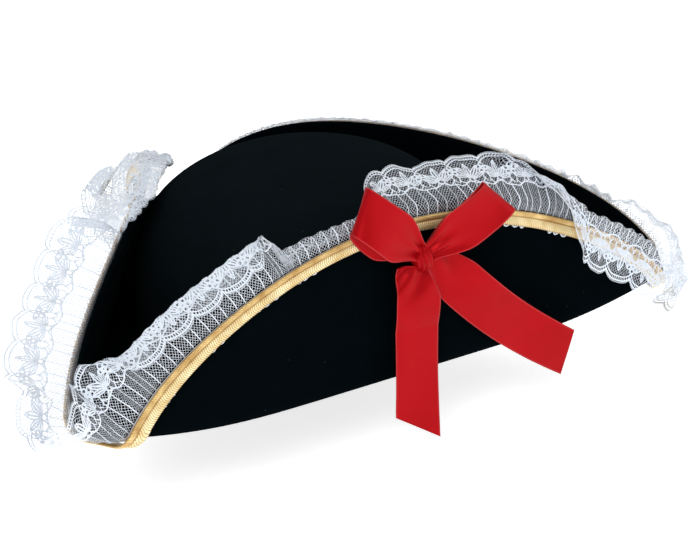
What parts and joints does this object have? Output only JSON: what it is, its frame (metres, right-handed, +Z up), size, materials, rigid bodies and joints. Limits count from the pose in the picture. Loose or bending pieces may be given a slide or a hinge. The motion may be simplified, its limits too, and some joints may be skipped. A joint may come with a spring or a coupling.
{
  "type": "tricorn pirate hat",
  "caption": "Black felt tricorn costume hat with a domed crown, cocked brim edged in lace and gold braid, and a red satin bow with loose tails.",
  "frame": {"origin": "middle of the oval head opening, halfway through the thickness of the brim's felt", "axes": "+Z up through the crown, -Y towards the front flap that carries the bow, +Y towards the back corner, +X to the hat's right as seen from the front"},
  "size_m": [0.3995, 0.328, 0.1411],
  "materials": {
    "crown_felt": "matte felt",
    "brim_felt": "matte felt",
    "sweatband_twill": "twill tape",
    "black_thread": "thread",
    "label_tape": "woven tape",
    "white_lace": "net lace",
    "gold_braid": "metallic braid",
    "red_satin": "satin ribbon",
    "red_thread": "thread"
  },
  "bodies": {
    "hat": {"crown": "crown_felt", "brim": "brim_felt", "sweatband": "sweatband_twill", "sweatband_stitches": "black_thread", "care_label": "label_tape", "lace_trim": "white_lace", "gold_braid": "gold_braid", "bow_loop_left": "red_satin", "bow_loop_right": "red_satin", "bow_knot": "red_satin", "bow_stitches": "red_thread"},
    "tail_left": {"ribbon_tail_left": "red_satin"},
    "tail_right": {"ribbon_tail_right": "red_satin"}
  },
  "joints": [
    {"name": "tail_left_lift", "type": "hinge", "parent": "hat", "child": "tail_left", "pos_m": [0.0032, -0.1207, 0.0597], "axis": [-1, 0, 0], "range_deg": [0, 90]},
    {"name": "tail_right_lift", "type": "hinge", "parent": "hat", "child": "tail_right", "pos_m": [0.016, -0.1207, 0.066], "axis": [-1, 0, 0], "range_deg": [0, 90]}
  ]
}
